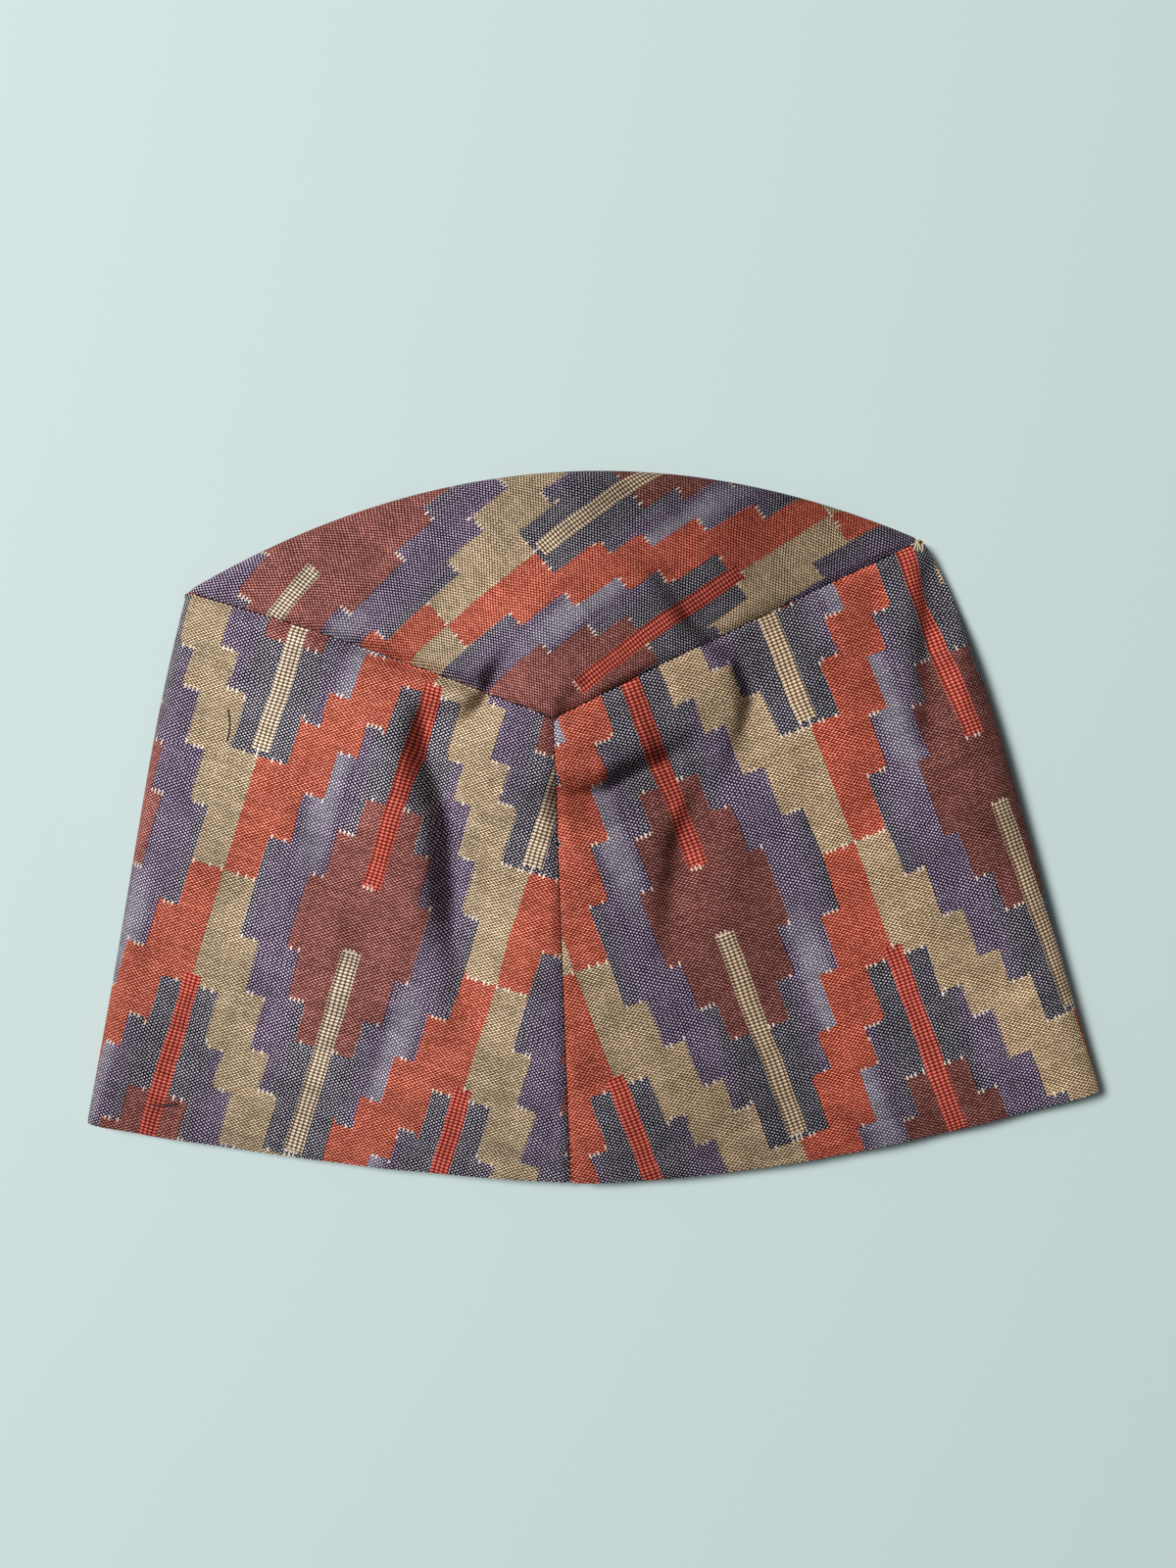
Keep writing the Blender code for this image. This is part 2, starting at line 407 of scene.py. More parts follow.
def band_panel(side, weave):
    """Cloth from the back centre seam, round the side fold, to the front centre seam."""
    columns = BACK_COLUMNS + FRONT_COLUMNS
    column = np.arange(columns + 1)
    if side is RIGHT:
        column = column[::-1]
    is_front = column >= BACK_COLUMNS
    seam_x = side.sign * SEAM_GAP / 2
    width = abs(side.hem_x)
    roll_share = ROLL_COLUMNS / FRONT_COLUMNS
    front = spacing((column - BACK_COLUMNS) / FRONT_COLUMNS, roll_share, UPPER_ROLL / width)
    lower_roll = fold_height(side.hem_x)
    back = spacing(1 - column / BACK_COLUMNS, ROLL_ROWS / BACK_COLUMNS, lower_roll / width)
    inward = np.where(is_front, front, back)[None, :]
    foot_x = between(side.hem_x, seam_x, inward)
    top_x = between(side.crown_x, seam_x, inward)
    foot_y = hem_y(foot_x)
    top_y = np.where(is_front, crown_seam_y(top_x), crown_arc_y(top_x))
    up = np.linspace(0, 1, PANEL_ROWS + 1)[:, None]
    length = np.hypot(top_x - foot_x, top_y - foot_y)
    height = 1 - spacing(1 - up, ROLL_ROWS / PANEL_ROWS, fold_height(top_x) / length)
    x = between(foot_x, top_x, height) + side.sign * fold_bow(side, height) * (1 - inward) ** 2
    y = between(foot_y, top_y, height)
    sunk = seam_dip(x) + seam_dip(crown_seam_y(x) - y) + hem_sink(x, y)
    z = np.where(is_front, upper_z(x, y) - sunk, lower_z(x, y))
    in_fold = (column >= BACK_COLUMNS - ROLL_ROWS) & (column <= BACK_COLUMNS + ROLL_COLUMNS)
    further = run_over_roll(x, y, z, in_fold[1:] & in_fold[:-1], 1)
    if side is LEFT:
        further = further[:, -1:] - further
    cloth_x, cloth_y = unfolded(side, x, y, is_front, further)
    at_back_top = (up[1:] > 1 - ROLL_ROWS / PANEL_ROWS) & ~is_front
    cloth_y = cloth_y + run_over_roll(x, y, z, at_back_top, 0)
    woven_at = woven_place(cloth_x, cloth_y, weave)
    return add_cloth("cloth_" + side.name, x, y, z, woven_at, weave.row_height)


def crown(weave):
    """Lens of cloth between the V seam of the front and the arc of the back."""
    across = np.linspace(0, 1, CROWN_COLUMNS + 1)[None, :]
    x = between(LEFT.crown_x + CROWN_END, RIGHT.crown_x - CROWN_END, across)
    low = crown_seam_y(x) + SEAM_GAP
    high = crown_arc_y(x)
    fine = np.minimum(UPPER_ROLL / (high - low), ROLL_COLUMNS / CROWN_ROWS)
    up = np.linspace(0, 1, CROWN_ROWS + 1)[:, None]
    y = between(low, high, 1 - spacing(1 - up, ROLL_COLUMNS / CROWN_ROWS, fine))
    x = x + np.zeros_like(y)
    above = y - crown_seam_y(x)
    hung = overhang(x, y) * (1 - np.exp(-above / SEAM_ROLL_REACH))
    z = upper_z(x, y, ARC_SEAM_GAP) + hung - seam_dip(above)
    cloth_y = y + run_over_roll(x, y, z, up[1:] > 1 - ROLL_COLUMNS / CROWN_ROWS, 0)
    woven_at = woven_place(x, cloth_y, weave)
    return add_cloth("cloth_crown", x, y, z, woven_at, weave.row_height)


# Stitches. What is uneven about them goes up and down by its size, at its beat from stitch to stitch.
STITCH_PITCH = 0.0019
STITCH_LENGTH = 0.0011
STITCH_HALF_WIDTH = 0.00022
STITCH_SIDES = 8
STITCH_RINGS = 6
FIRST_STITCH = 0.002
STITCH_FREE_END = 0.006
CENTRE_STITCH_SINK = 0.0001
CROWN_STITCH_SINK = 0.0002
SLOPE_REACH = 0.0005
LOOSE_BEND = 0.3
Uneven = namedtuple("Uneven", "size beat")
CENTRE_SWAY = Uneven(0.00015, 0.9)
CENTRE_TURN = Uneven(0.35, 2.1)
CROWN_TURN = Uneven(0.3, 1.7)


def seam_stitches(name, places, body, thread):
    """Short stitches or runs of them, in one piece; a place is x, y, z and its turn."""
    bpy.ops.object.select_all(action="DESELECT")
    made = []
    for x, y, z, turn in places:
        bpy.ops.mesh.primitive_uv_sphere_add(
            segments=STITCH_SIDES,
            ring_count=STITCH_RINGS,
            radius=1,
            scale=(STITCH_LENGTH / 2, STITCH_HALF_WIDTH, STITCH_HALF_WIDTH),
            location=(x - MIDDLE_X, y - MIDDLE_Y, z),
            rotation=(0, 0, turn),
        )
        made.append(bpy.context.active_object)
    for stitch in made:
        stitch.select_set(True)
    bpy.context.view_layer.objects.active = made[0]
    bpy.ops.object.join()
    bpy.ops.object.transform_apply(location=True, rotation=True, scale=True)
    bpy.ops.object.shade_smooth()
    run = bpy.context.active_object
    run.name = name
    run.data.name = name
    while run.data.uv_layers:
        run.data.uv_layers.remove(run.data.uv_layers[0])
    run.data.materials.clear()
    run.data.materials.append(thread)
    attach(run, body)


def uneven(row, count):
    return row.size * np.sin(row.beat * np.arange(count))


def centre_seam_stitches():
    """Places along the front centre seam, from the hem to the crown."""
    count = int((CROWN_POINT_Y - HEM_LOW_Y) / STITCH_PITCH)
    y = HEM_LOW_Y + FIRST_STITCH + STITCH_PITCH * np.arange(count)
    x = uneven(CENTRE_SWAY, count)
    z = upper_z(x, y) - SEAM_ROLL - CENTRE_STITCH_SINK
    return np.stack([x, y, z, uneven(CENTRE_TURN, count)], axis=-1)


def crown_seam_stitches():
    """Places along the V seam between crown and band."""
    x = np.arange(LEFT.crown_x + STITCH_FREE_END, RIGHT.crown_x - STITCH_FREE_END, STITCH_PITCH)
    y = crown_seam_y(x) + SEAM_GAP / 2
    slope = (crown_seam_y(x + SLOPE_REACH) - crown_seam_y(x - SLOPE_REACH)) / (2 * SLOPE_REACH)
    z = upper_z(x, y) - SEAM_ROLL - CROWN_STITCH_SINK
    turn = np.arctan(slope) + math.pi / 2 + uneven(CROWN_TURN, len(x))
    return np.stack([x, y, z, turn], axis=-1)


# Loose ends of thread: where each starts, its turn from +X, and its length. The dark ones lie on the left
# panel, and the pale ones are the frayed end of the crown's seam at its right corner.
Loose = namedtuple("Loose", "x y turn length")
DARK_ENDS = (
    Loose(-0.0877, 0.1226, 1.36, 0.0080),
    Loose(-0.1118, 0.0252, -0.16, 0.0062),
)
PALE_ENDS = (
    Loose(0.0990, 0.1674, 1.10, 0.0026),
    Loose(0.0999, 0.1672, 1.45, 0.0028),
    Loose(0.1007, 0.1674, 1.75, 0.0024),
    Loose(0.1013, 0.1670, 1.35, 0.0020),
    Loose(0.0985, 0.1686, 0.35, 0.0024),
)


def loose_ends(ends):
    """Places along each loose end; it bends a little on its way."""
    runs = []
    for end in ends:
        way = np.arange(0, end.length, STITCH_LENGTH / 2)
        turn = end.turn + LOOSE_BEND * (way / end.length - 0.5)
        x = end.x + way * np.cos(turn)
        y = end.y + way * np.sin(turn)
        runs.append(np.stack([x, y, upper_z(x, y) + STITCH_HALF_WIDTH / 2, turn], axis=-1))
    return np.concatenate(runs)


class Wire:
    """A node socket that can stand in an expression."""

    def __init__(self, maker, socket):
        self.maker = maker
        self.socket = socket

    def math(self, operation, *others):
        return self.maker.node("Math", {"operation": operation}, [self, *others])

    def __add__(self, other):
        return self.math("ADD", other)

    def __radd__(self, other):
        return self.math("ADD", other)

    def __sub__(self, other):
        return self.math("SUBTRACT", other)

    def __rsub__(self, other):
        return self.maker.node("Math", {"operation": "SUBTRACT"}, [other, self])

    def __mul__(self, other):
        return self.math("MULTIPLY", other)

    def __rmul__(self, other):
        return self.math("MULTIPLY", other)

    def __truediv__(self, other):
        return self.math("DIVIDE", other)

    def __lt__(self, other):
        return self.math("LESS_THAN", other)

    def __gt__(self, other):
        return self.math("GREATER_THAN", other)


class Maker:
    """Adds the nodes of one material."""

    def __init__(self, name):
        self.material = bpy.data.materials.new(name)
        self.material.use_nodes = True
        self.nodes = self.material.node_tree.nodes
        self.links = self.material.node_tree.links
        self.shader = self.nodes["Principled BSDF"]

    def node(self, kind, settings=None, inputs=(), output=0):
        node = self.nodes.new("ShaderNode" + kind)
        for key, value in (settings or {}).items():
            setattr(node, key, value)
        pairs = inputs.items() if isinstance(inputs, dict) else enumerate(inputs)
        for key, value in pairs:
            self.feed(node.inputs[key], value)
        return Wire(self, node.outputs[output])

    def feed(self, socket, value):
        if isinstance(value, Wire):
            self.links.new(value.socket, socket)
        else:
            socket.default_value = value

    def mix(self, first, second, share):
        """Colour between two colours."""
        settings = {"data_type": "RGBA"}
        return self.node("Mix", settings, {0: share, 6: first, 7: second}, output=2)

    def parts(self, vector):
        return [self.node("SeparateXYZ", None, [vector], output=index) for index in range(3)]

    def smooth(self, value, step):
        """0 below the step's low end, 1 above its high end, and a soft rise between them."""
        low, high = step
        settings = {"interpolation_type": "SMOOTHSTEP"}
        return self.node("MapRange", settings, {0: value, 1: low, 2: high, 3: 0.0, 4: 1.0})

    def grain(self, x, y):
        """A value from 0 to 1 that is the same all over one cell."""
        place = self.node("CombineXYZ", None, [x, y])
        return self.node("TexWhiteNoise", {"noise_dimensions": "3D"}, {0: place})

    def cloud(self, place, scale):
        """A soft value round a half, with waves of the given scale."""
        return self.node("TexNoise", None, {"Vector": place, "Scale": scale, "Detail": CLOUD_DETAIL})


# The stepped pattern. Widths are in millimetres from a motif's centre line, heights in rows of steps.
# From a crossing, the next one lies half a repeat across and MOTIF_ROWS up.
HALF_REPEAT = 41.0
MOTIF_ROWS = 7
STEP = 5.8
CROSSING_HALF = 9.6
STEP_START = 9.2
NOTCH_ROW = 2.3
NOTCH_HALF = 8.5
DIAMOND_ROWS = (2.45, 1.7, 0.75)
DIAMOND_HALVES = (8.5, 13.6, 17.6)
BAR_HALF = 2.6
PALE_BAR_ROWS = (2.4, 0.5)
RED_BAR_ROWS = (2.1, 0.8)

# Red bars lie right of this place, in millimetres across the warp: everywhere on the band, and not at the
# left end of the crown.
BAND_RED_BARS_FROM = -200
CROWN_RED_BARS_FROM = -25

# What lies on top at a place, where the ground counts as 0.
BEIGE_INLAY = 1
ORANGE_INLAY = 2
MAROON_INLAY = 3

# The weave, in millimetres: a pair of ends, a bar's column, how far the threads wander and the height of
# the rows there. The wandering has waves of two scales. A pick slips, and a motif's edge follows the
# dashes, by a share of a pair of ends.
WARP_PAIR = 1.38
BAR_COLUMN = 1.3
BAR_PICKS = 2
PICKS_PER_ROW = 30
WANDER = 1.6
WANDER_ROW = 14
CLOUD_DETAIL = 2.0
WANDER_SCALE_ACROSS = 60.0
WANDER_SCALE_UP = 45.0
SLIP = 0.10
EDGE_TEETH = 0.4

# A dash of yarn: its half length and half width, as shares of a pair of ends and of a pick; on a bar, of
# a column and of its picks. The edge of a dash and its painted highlight, the brighter middle that stands
# for light on a round thread, are steps in the squared distance from its middle.
Dash = namedtuple("Dash", "half_length half_width")
GROUND_DASH = Dash(0.20, 0.50)
INLAID_DASH = Dash(0.41, 0.38)
BAR_DASH = Dash(0.48, 0.42)
LEAST_FULLNESS = 0.93
FULLNESS_CHANGE = 0.12
DASH_EDGE = (0.45, 1.15)
DASH_HIGHLIGHT = (0.0, 0.55)

# Stray pale threads at the edges of the motifs: heights in picks.
TICK_PITCH = 1.2
TICK_FOOT = 0.6
TICK_TOP = 0.2
TICK_RISE = 1.3
TICK_LEAST_RAGGED = 0.4
TICK_HALF = 0.18

# Where the ground's colour changes, in millimetres from the centre lines; and across the cap, in metres,
# where each yarn passes from its first to its second colour, a painted light and shade.
NOTCH_FADE = (9.0, 16.0)
DIAMOND_FADE = (8.0, 14.0)
PALE_STRIP_RISE = (16.0, 20.0)
PALE_STRIP_FALL = (23.0, 27.0)
PALE_SIDE = (0, 40)
TO_RIGHT = (-0.06, 0.06)

# The yarn's tone: its least value, and what each change adds to it.
LEAST_TONE = 0.58
DASH_TONE = 0.20
PICK_TONE = 0.22
END_TONE = 0.12
# Painted highlight: the middle of each dash is made brighter, as a round thread's lit top.
DASH_HIGHLIGHT_TONE = 0.20
Patch = namedtuple("Patch", "scale tone")
BROAD_PATCH = Patch(22.0, 0.22)
SMALL_PATCH = Patch(130.0, 0.24)
PATCH_EDGE = (0.35, 0.65)
# Painted highlight: pale pinkish white mixed into the middle of each dash, less on the bars.
LEAST_HIGHLIGHT = 0.08
HIGHLIGHT_CHANGE = 0.22
HIGHLIGHT_LOST_ON_BARS = 0.7
BAND_TONE = 1.0
CROWN_TONE = 0.93

# Yarn colours: the lit top of a thread, and what shows between threads. Each yarn's second colour is the
# same yarn on the right of the cap; the change from the first is painted light and shade.
BEIGE = (0.80, 0.63, 0.42, 1)
RIGHT_BEIGE = (0.98, 0.72, 0.45, 1)
ORANGE = (0.88, 0.215, 0.125, 1)
RIGHT_ORANGE = (0.96, 0.190, 0.105, 1)
BAR_RED = (0.66, 0.12, 0.085, 1)
MAROON = (0.56, 0.185, 0.155, 1)
RIGHT_MAROON = (0.345, 0.102, 0.080, 1)
# Colour of the painted highlight on the tops of the dashes.
PALE_HIGHLIGHT = (0.90, 0.78, 0.76, 1)
BAR_CREAM = (0.72, 0.59, 0.45, 1)
RIGHT_BAR_CREAM = (0.68, 0.51, 0.35, 1)
CREAM = (0.72, 0.60, 0.50, 1)
BRIGHT_DOT = (0.64, 0.60, 0.67, 1)
RIGHT_DOT = (0.44, 0.42, 0.46, 1)
LILAC_DOT = (0.63, 0.51, 0.68, 1)
PALE_DOT = (0.70, 0.66, 0.73, 1)
NAVY = (0.006, 0.005, 0.012, 1)
PURPLE = (0.018, 0.010, 0.028, 1)
LAVENDER = (0.105, 0.092, 0.130, 1)
BEIGE_SHADE = (0.070, 0.042, 0.018, 1)
RED_SHADE = (0.100, 0.012, 0.006, 1)
MAROON_SHADE = (0.040, 0.009, 0.008, 1)
DARK_THREAD = (0.045, 0.022, 0.026, 1)
PALE_THREAD = (0.56, 0.46, 0.30, 1)

# Painted shade and light over the cap: where the cloth is made duller or brighter to stand for how the
# light falls on it, its tone before and after a place along X or Y, in metres.
PaintedShade = namedtuple("PaintedShade", "axis start end before after")
LEFT_EDGE_PAINTED_SHADE = PaintedShade("x", -0.130, -0.082, 0.79, 1.0)
MIDDLE_PAINTED_SHADE = PaintedShade("x", -0.022, 0.010, 1.0, 0.72)
RIGHT_PART_PAINTED_LIGHT = PaintedShade("x", 0.045, 0.070, 1.0, 1.18)
HEM_PAINTED_SHADE = PaintedShade("y", -0.092, -0.058, 0.86, 1.0)
CROWN_RIGHT_PAINTED_SHADE = PaintedShade("x", 0.018, 0.052, 1.0, 0.64)
CROWN_BACK_PAINTED_SHADE = PaintedShade("y", 0.072, 0.094, 1.0, 0.90)
BAND_PAINTED_SHADES = (LEFT_EDGE_PAINTED_SHADE, MIDDLE_PAINTED_SHADE, RIGHT_PART_PAINTED_LIGHT, HEM_PAINTED_SHADE)
CROWN_PAINTED_SHADES = (MIDDLE_PAINTED_SHADE, RIGHT_PART_PAINTED_LIGHT, CROWN_RIGHT_PAINTED_SHADE, CROWN_BACK_PAINTED_SHADE)

# How the surfaces take the light, and how high the dashes stand.
CLOTH_ROUGHNESS = 0.75
CLOTH_SHEEN = 0.05
RELIEF_STRENGTH = 0.8
RELIEF_HEIGHT = 0.0002
PLAIN_ROUGHNESS = 0.8


Chart = namedtuple("Chart", "on_top bar off from_diamond pale_side")


def pattern(maker, across, rise, climb, red_bars_from):
    """The chart at a place: what lies on top; whether it is a bar; the distances from the centre lines of
    crossing and diamond; and how far it is on an orange side. Red bars begin at a place across."""
    wrapped = (rise - climb * across).math("WRAP", 1.5 * MOTIF_ROWS, -0.5 * MOTIF_ROWS)
    second = wrapped > 0.5 * MOTIF_ROWS
    middle_height = wrapped - second * MOTIF_ROWS
    side = (across - second * HALF_REPEAT).math("WRAP", HALF_REPEAT, -HALF_REPEAT)
    hand = side.math("SIGN")
    off = side.math("ABSOLUTE")
    step_middle = (((off - STEP_START) / STEP).math("FLOOR") + 0.5) * STEP + STEP_START
    step_middle = step_middle * (off > STEP_START)
    height = middle_height + climb * (side - hand * step_middle)
    diamond_height = middle_height + climb * (side - hand * HALF_REPEAT)
    level = height.math("ABSOLUTE")
    outer = level.math("FLOOR") * STEP + CROSSING_HALF
    notch = level > NOTCH_ROW
    inner = ((level - NOTCH_ROW).math("FLOOR") * STEP + NOTCH_HALF) * notch
    stair = (off < outer) * (off > inner)
    orange_side = (side * height) > 0
    pale_side = maker.smooth(side * middle_height, PALE_SIDE)
    from_diamond = HALF_REPEAT - off
    diamond = in_diamond(from_diamond, diamond_height.math("ABSOLUTE"))
    on_top = stair * (orange_side + BEIGE_INLAY) + (1 - stair) * diamond * MAROON_INLAY
    at_crossing = off < BAR_HALF
    at_diamond = from_diamond < BAR_HALF
    pale_foot, pale_top = PALE_BAR_ROWS
    red_top, red_foot = RED_BAR_ROWS
    pale_bar = at_crossing * (height > pale_foot) + at_diamond * (diamond_height < -pale_top)
    red_bar = at_crossing * (height < -red_top) + at_diamond * (diamond_height > red_foot)
    red_bar = red_bar * (across > red_bars_from)
    bar = pale_bar + red_bar
    on_top = on_top * (1 - bar) + pale_bar * BEIGE_INLAY + red_bar * ORANGE_INLAY
    return Chart(on_top, bar, off, from_diamond, pale_side)


def in_diamond(from_diamond, level):
    """Whether a place lies in a diamond, which has three widths."""
    tall, middle, short = (level < value for value in DIAMOND_ROWS)
    tall_half, middle_half, short_half = DIAMOND_HALVES
    half = tall_half + (middle_half - tall_half) * middle + (short_half - middle_half) * short
    return (from_diamond < half) * tall


def at_least(chart, inlay):
    return chart.on_top > inlay - 0.5


def stray_threads(maker, across, rise, climb, red_bars_from):
    """Short pale threads that stand up over the steps' edges."""
    tick = across / TICK_PITCH
    tick_across = (tick.math("FLOOR") + 0.5) * TICK_PITCH
    ragged = maker.grain(tick.math("FLOOR"), 0.5)
    foot = rise - (TICK_FOOT + ragged) / PICKS_PER_ROW
    top = rise + (TICK_TOP + TICK_RISE * ragged) / PICKS_PER_ROW
    below = pattern(maker, tick_across, foot, climb, red_bars_from).on_top
    above = pattern(maker, tick_across, top, climb, red_bars_from).on_top
    at_edge = ((above - below).math("ABSOLUTE") > 0.5) * (ragged > TICK_LEAST_RAGGED)
    return at_edge * ((tick.math("FRACT") - 0.5).math("ABSOLUTE") < TICK_HALF)


def from_middle(position, half):
    """Squared distance from the middle of a cell, 1 at the given half of its size."""
    return ((position.math("FRACT") - 0.5) / half).math("POWER", 2)


def dash_distance(chart, across, ends, picks, fullness):
    """Squared distance from the middle of the dash at a place, about 1 at its edge."""
    inlaid = at_least(chart, BEIGE_INLAY)
    half_length = between(GROUND_DASH.half_length, INLAID_DASH.half_length, inlaid)
    half_width = between(GROUND_DASH.half_width, INLAID_DASH.half_width, inlaid)
    plain = from_middle(ends, half_length * fullness) + from_middle(picks, half_width * fullness)
    along_bar = from_middle(across / BAR_COLUMN, BAR_DASH.half_length)
    on_bar = along_bar + from_middle(picks / BAR_PICKS, BAR_DASH.half_width)
    return between(plain, on_bar, chart.bar)


def weft_colour(maker, chart, to_right, dark_ground, pale_strip):
    """Colour of the yarn on top, with painted light and shade from its first to its second colour across the
    cap.
    """
    dot = maker.mix(LILAC_DOT, maker.mix(BRIGHT_DOT, RIGHT_DOT, to_right), dark_ground)
    dot = maker.mix(dot, PALE_DOT, pale_strip)
    weft = maker.mix(dot, maker.mix(BEIGE, RIGHT_BEIGE, to_right), at_least(chart, BEIGE_INLAY))
    weft = maker.mix(weft, maker.mix(BAR_CREAM, RIGHT_BAR_CREAM, to_right), chart.bar)
    orange = at_least(chart, ORANGE_INLAY)
    weft = maker.mix(weft, maker.mix(ORANGE, RIGHT_ORANGE, to_right), orange)
    weft = maker.mix(weft, BAR_RED, orange * chart.bar)
    return maker.mix(weft, maker.mix(MAROON, RIGHT_MAROON, to_right), at_least(chart, MAROON_INLAY))


def colour_between_dashes(maker, chart, dark_ground, pale_strip):
    """Colour of the warp and of the shade beside the yarn on top."""
    under = maker.mix(maker.mix(PURPLE, NAVY, dark_ground), LAVENDER, pale_strip)
    under = maker.mix(under, BEIGE_SHADE, at_least(chart, BEIGE_INLAY))
    under = maker.mix(under, RED_SHADE, at_least(chart, ORANGE_INLAY))
    return maker.mix(under, MAROON_SHADE, at_least(chart, MAROON_INLAY))


def patchiness(maker, spot, patch):
    return maker.smooth(maker.cloud(spot, patch.scale), PATCH_EDGE) * patch.tone


def tone_with_painted_shade(maker, along, tone, painted_shades):
    """The cloth's tone at a place, darkened and lightened by each row of painted shade and light."""
    for shade in painted_shades:
        passed = maker.smooth(along[shade.axis], (shade.start, shade.end))
        tone = (passed * (shade.after - shade.before) + shade.before) * tone
    return tone


def woven_cloth(name, tone, painted_shades, red_bars_from):
    """Cotton with an inlaid pattern: dashes of weft over a dark warp, worked out from the woven attribute."""
    maker = Maker(name)
    across, rise, climb = maker.parts(maker.node("Attribute", {"attribute_name": "woven"}, output=1))
    spot = maker.node("TexCoord", output=3)
    along = dict(zip("xyz", maker.parts(spot)))
    across = across + (maker.cloud(spot, WANDER_SCALE_ACROSS) - 0.5) * WANDER
    rise = rise + (maker.cloud(spot, WANDER_SCALE_UP) - 0.5) * WANDER / WANDER_ROW
    picks = rise * PICKS_PER_ROW
    pick = picks.math("FLOOR")
    pick_grain = maker.grain(0.0, pick)
    shift = pick.math("FLOORED_MODULO", 2) * 0.5 + (pick_grain - 0.5) * SLIP
    ends = across / WARP_PAIR + shift
    end = ends.math("FLOOR")
    dash_grain = maker.grain(end, pick)
    seen_across = between(across, (end + 0.5 - shift) * WARP_PAIR, EDGE_TEETH)
    chart = pattern(maker, seen_across, (pick + 0.5) / PICKS_PER_ROW, climb, red_bars_from)
    fullness = LEAST_FULLNESS + FULLNESS_CHANGE * dash_grain
    distance = dash_distance(chart, across, ends, picks, fullness)
    stray = stray_threads(maker, across, rise, climb, red_bars_from)
    dash = (1 - maker.smooth(distance, DASH_EDGE)).math("MAXIMUM", stray)
    # Painted highlight at the middle of each dash.
    dash_highlight = 1 - maker.smooth(distance, DASH_HIGHLIGHT)
    in_notch = 1 - maker.smooth(chart.off, NOTCH_FADE)
    beside_bar = 1 - maker.smooth(chart.from_diamond, DIAMOND_FADE)
    dark_ground = in_notch.math("MAXIMUM", beside_bar)
    pale_strip = maker.smooth(chart.off, PALE_STRIP_RISE) * (1 - maker.smooth(chart.off, PALE_STRIP_FALL))
    pale_strip = pale_strip * chart.pale_side
    weft = weft_colour(maker, chart, maker.smooth(along["x"], TO_RIGHT), dark_ground, pale_strip)
    # Painted highlight: paler yarn at the middle of each dash.
    painted_highlight = dash_highlight * (LEAST_HIGHLIGHT + HIGHLIGHT_CHANGE * dash_grain) * (1 - HIGHLIGHT_LOST_ON_BARS * chart.bar)
    weft = maker.mix(maker.mix(weft, PALE_HIGHLIGHT, painted_highlight), CREAM, stray)
    under = colour_between_dashes(maker, chart, dark_ground, pale_strip)
    patches = patchiness(maker, spot, BROAD_PATCH) + patchiness(maker, spot, SMALL_PATCH)
    value = LEAST_TONE + dash_grain * DASH_TONE + patches + pick_grain * PICK_TONE
    value = value + maker.grain(end, 0.5) * END_TONE + dash_highlight * DASH_HIGHLIGHT_TONE
    # Painted shade and light over the cap.
    value = value * tone_with_painted_shade(maker, along, tone, painted_shades)
    colour = maker.mix(under, weft, dash)
    colour = maker.node("HueSaturation", None, {"Value": value, "Color": colour})
    maker.feed(maker.shader.inputs["Base Color"], colour)
    maker.shader.inputs["Roughness"].default_value = CLOTH_ROUGHNESS
    maker.shader.inputs["Specular IOR Level"].default_value = CLOTH_SHEEN
    relief = {"Strength": RELIEF_STRENGTH, "Distance": RELIEF_HEIGHT, "Height": dash}
    maker.feed(maker.shader.inputs["Normal"], maker.node("Bump", None, relief))
    return maker.material


def plain_material(name, colour):
    maker = Maker(name)
    maker.shader.inputs["Base Color"].default_value = colour
    maker.shader.inputs["Roughness"].default_value = PLAIN_ROUGHNESS
    return maker.material


FLOOR_SIZE = 4
FLOOR_LEVEL = -0.0002
FLOOR_COLOUR = (0.478, 0.588, 0.586, 1)


def plain_floor():
    bpy.ops.object.select_all(action="DESELECT")
    bpy.ops.mesh.primitive_plane_add(size=FLOOR_SIZE, location=(0, 0, FLOOR_LEVEL))
    floor = bpy.context.active_object
    floor.name = "floor"
    floor.data.materials.append(plain_material("pale_floor", FLOOR_COLOUR))


# The camera looks straight down from above the cap, turned by the cap's own turn in the picture.
CAMERA_X = 0.00185
CAMERA_Y = 0.0115
CAMERA_HEIGHT = 0.455
OUTLINE_HEIGHT = 0.005
PICTURE_HEIGHT = 0.42667
CAP_TURN = math.radians(2.08)


def camera():
    data = bpy.data.cameras.new("camera")
    data.sensor_fit = "VERTICAL"
    data.angle_y = 2 * math.atan(PICTURE_HEIGHT / 2 / (CAMERA_HEIGHT - OUTLINE_HEIGHT))
    view = bpy.data.objects.new("camera", data)
    view.location = (CAMERA_X, CAMERA_Y, CAMERA_HEIGHT)
    view.rotation_euler = (0, 0, -CAP_TURN)
    bpy.context.scene.collection.objects.link(view)
    bpy.context.scene.camera = view


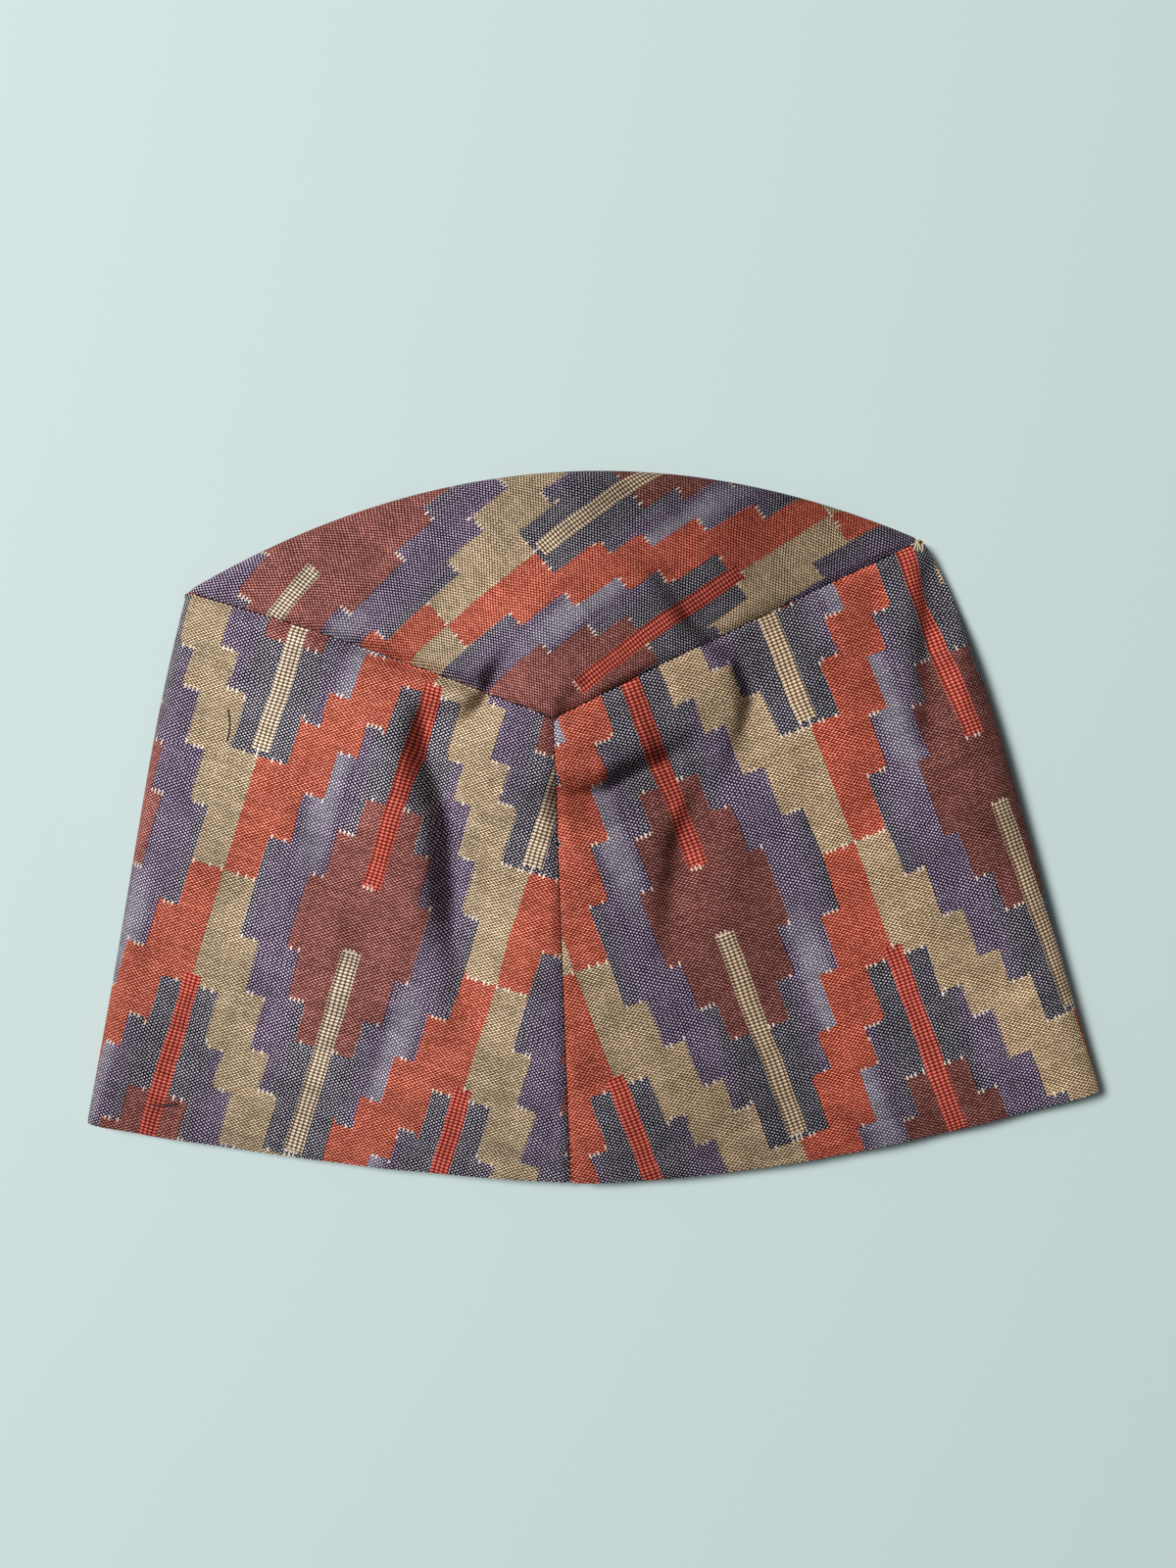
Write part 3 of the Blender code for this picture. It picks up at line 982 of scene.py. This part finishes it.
# Soft lights: place in metres, width, power in watts, colour.
Light = namedtuple("Light", "name x y z size power colour")
LIGHTS = (
    Light("window", -1.45, 0.75, 2.45, 0.80, 115, (1.0, 0.98, 0.96)),
    Light("fill", 0.3, -1.3, 1.5, 1.2, 1.4, (0.93, 0.97, 1.0)),
)
SKY_COLOUR = (0.90, 0.95, 1.0, 1)
SKY_STRENGTH = 0.10


def lights():
    for row in LIGHTS:
        data = bpy.data.lights.new(row.name, "AREA")
        data.size = row.size
        data.energy = row.power
        data.color = row.colour
        lamp = bpy.data.objects.new(row.name, data)
        lamp.location = (row.x, row.y, row.z)
        lamp.rotation_euler = (-lamp.location).to_track_quat("-Z", "Y").to_euler()
        bpy.context.scene.collection.objects.link(lamp)
    world = bpy.context.scene.world or bpy.data.worlds.new("world")
    bpy.context.scene.world = world
    world.use_nodes = True
    background = world.node_tree.nodes["Background"]
    background.inputs["Color"].default_value = SKY_COLOUR
    background.inputs["Strength"].default_value = SKY_STRENGTH


# The cut cloth of each piece, opened out flat: width and length of the rectangle round it, and its area.
Cut = namedtuple("Cut", "width length area")


def dress(piece, node, cloth):
    """Give a cloth its material and put it in the place of its solid."""
    piece.data.materials.clear()
    piece.data.materials.append(cloth)
    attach(piece, "root")
    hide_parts(node)


def main():
    bpy.context.scene.view_settings.view_transform = "Standard"
    camera()
    lights()
    plain_floor()
    band_cloth = woven_cloth("dhaka_band_cloth", BAND_TONE, BAND_PAINTED_SHADES, BAND_RED_BARS_FROM)
    crown_cloth = woven_cloth("dhaka_crown_cloth", CROWN_TONE, CROWN_PAINTED_SHADES, CROWN_RED_BARS_FROM)
    thread = plain_material("seam_thread", DARK_THREAD)
    frayed = plain_material("frayed_thread", PALE_THREAD)
    left = band_panel(LEFT, LEFT_WEAVE)
    right = band_panel(RIGHT, RIGHT_WEAVE)
    top = crown(CROWN_WEAVE)
    dress(left, LEFT.name, band_cloth)
    dress(right, RIGHT.name, band_cloth)
    dress(top, "crown", crown_cloth)
    seam_stitches("centre_seam_thread", centre_seam_stitches(), "root", thread)
    seam_stitches("crown_seam_thread", crown_seam_stitches(), "root", thread)
    seam_stitches("loose_thread_ends", loose_ends(DARK_ENDS), "root", thread)
    seam_stitches("frayed_seam_end", loose_ends(PALE_ENDS), "root", frayed)


main()
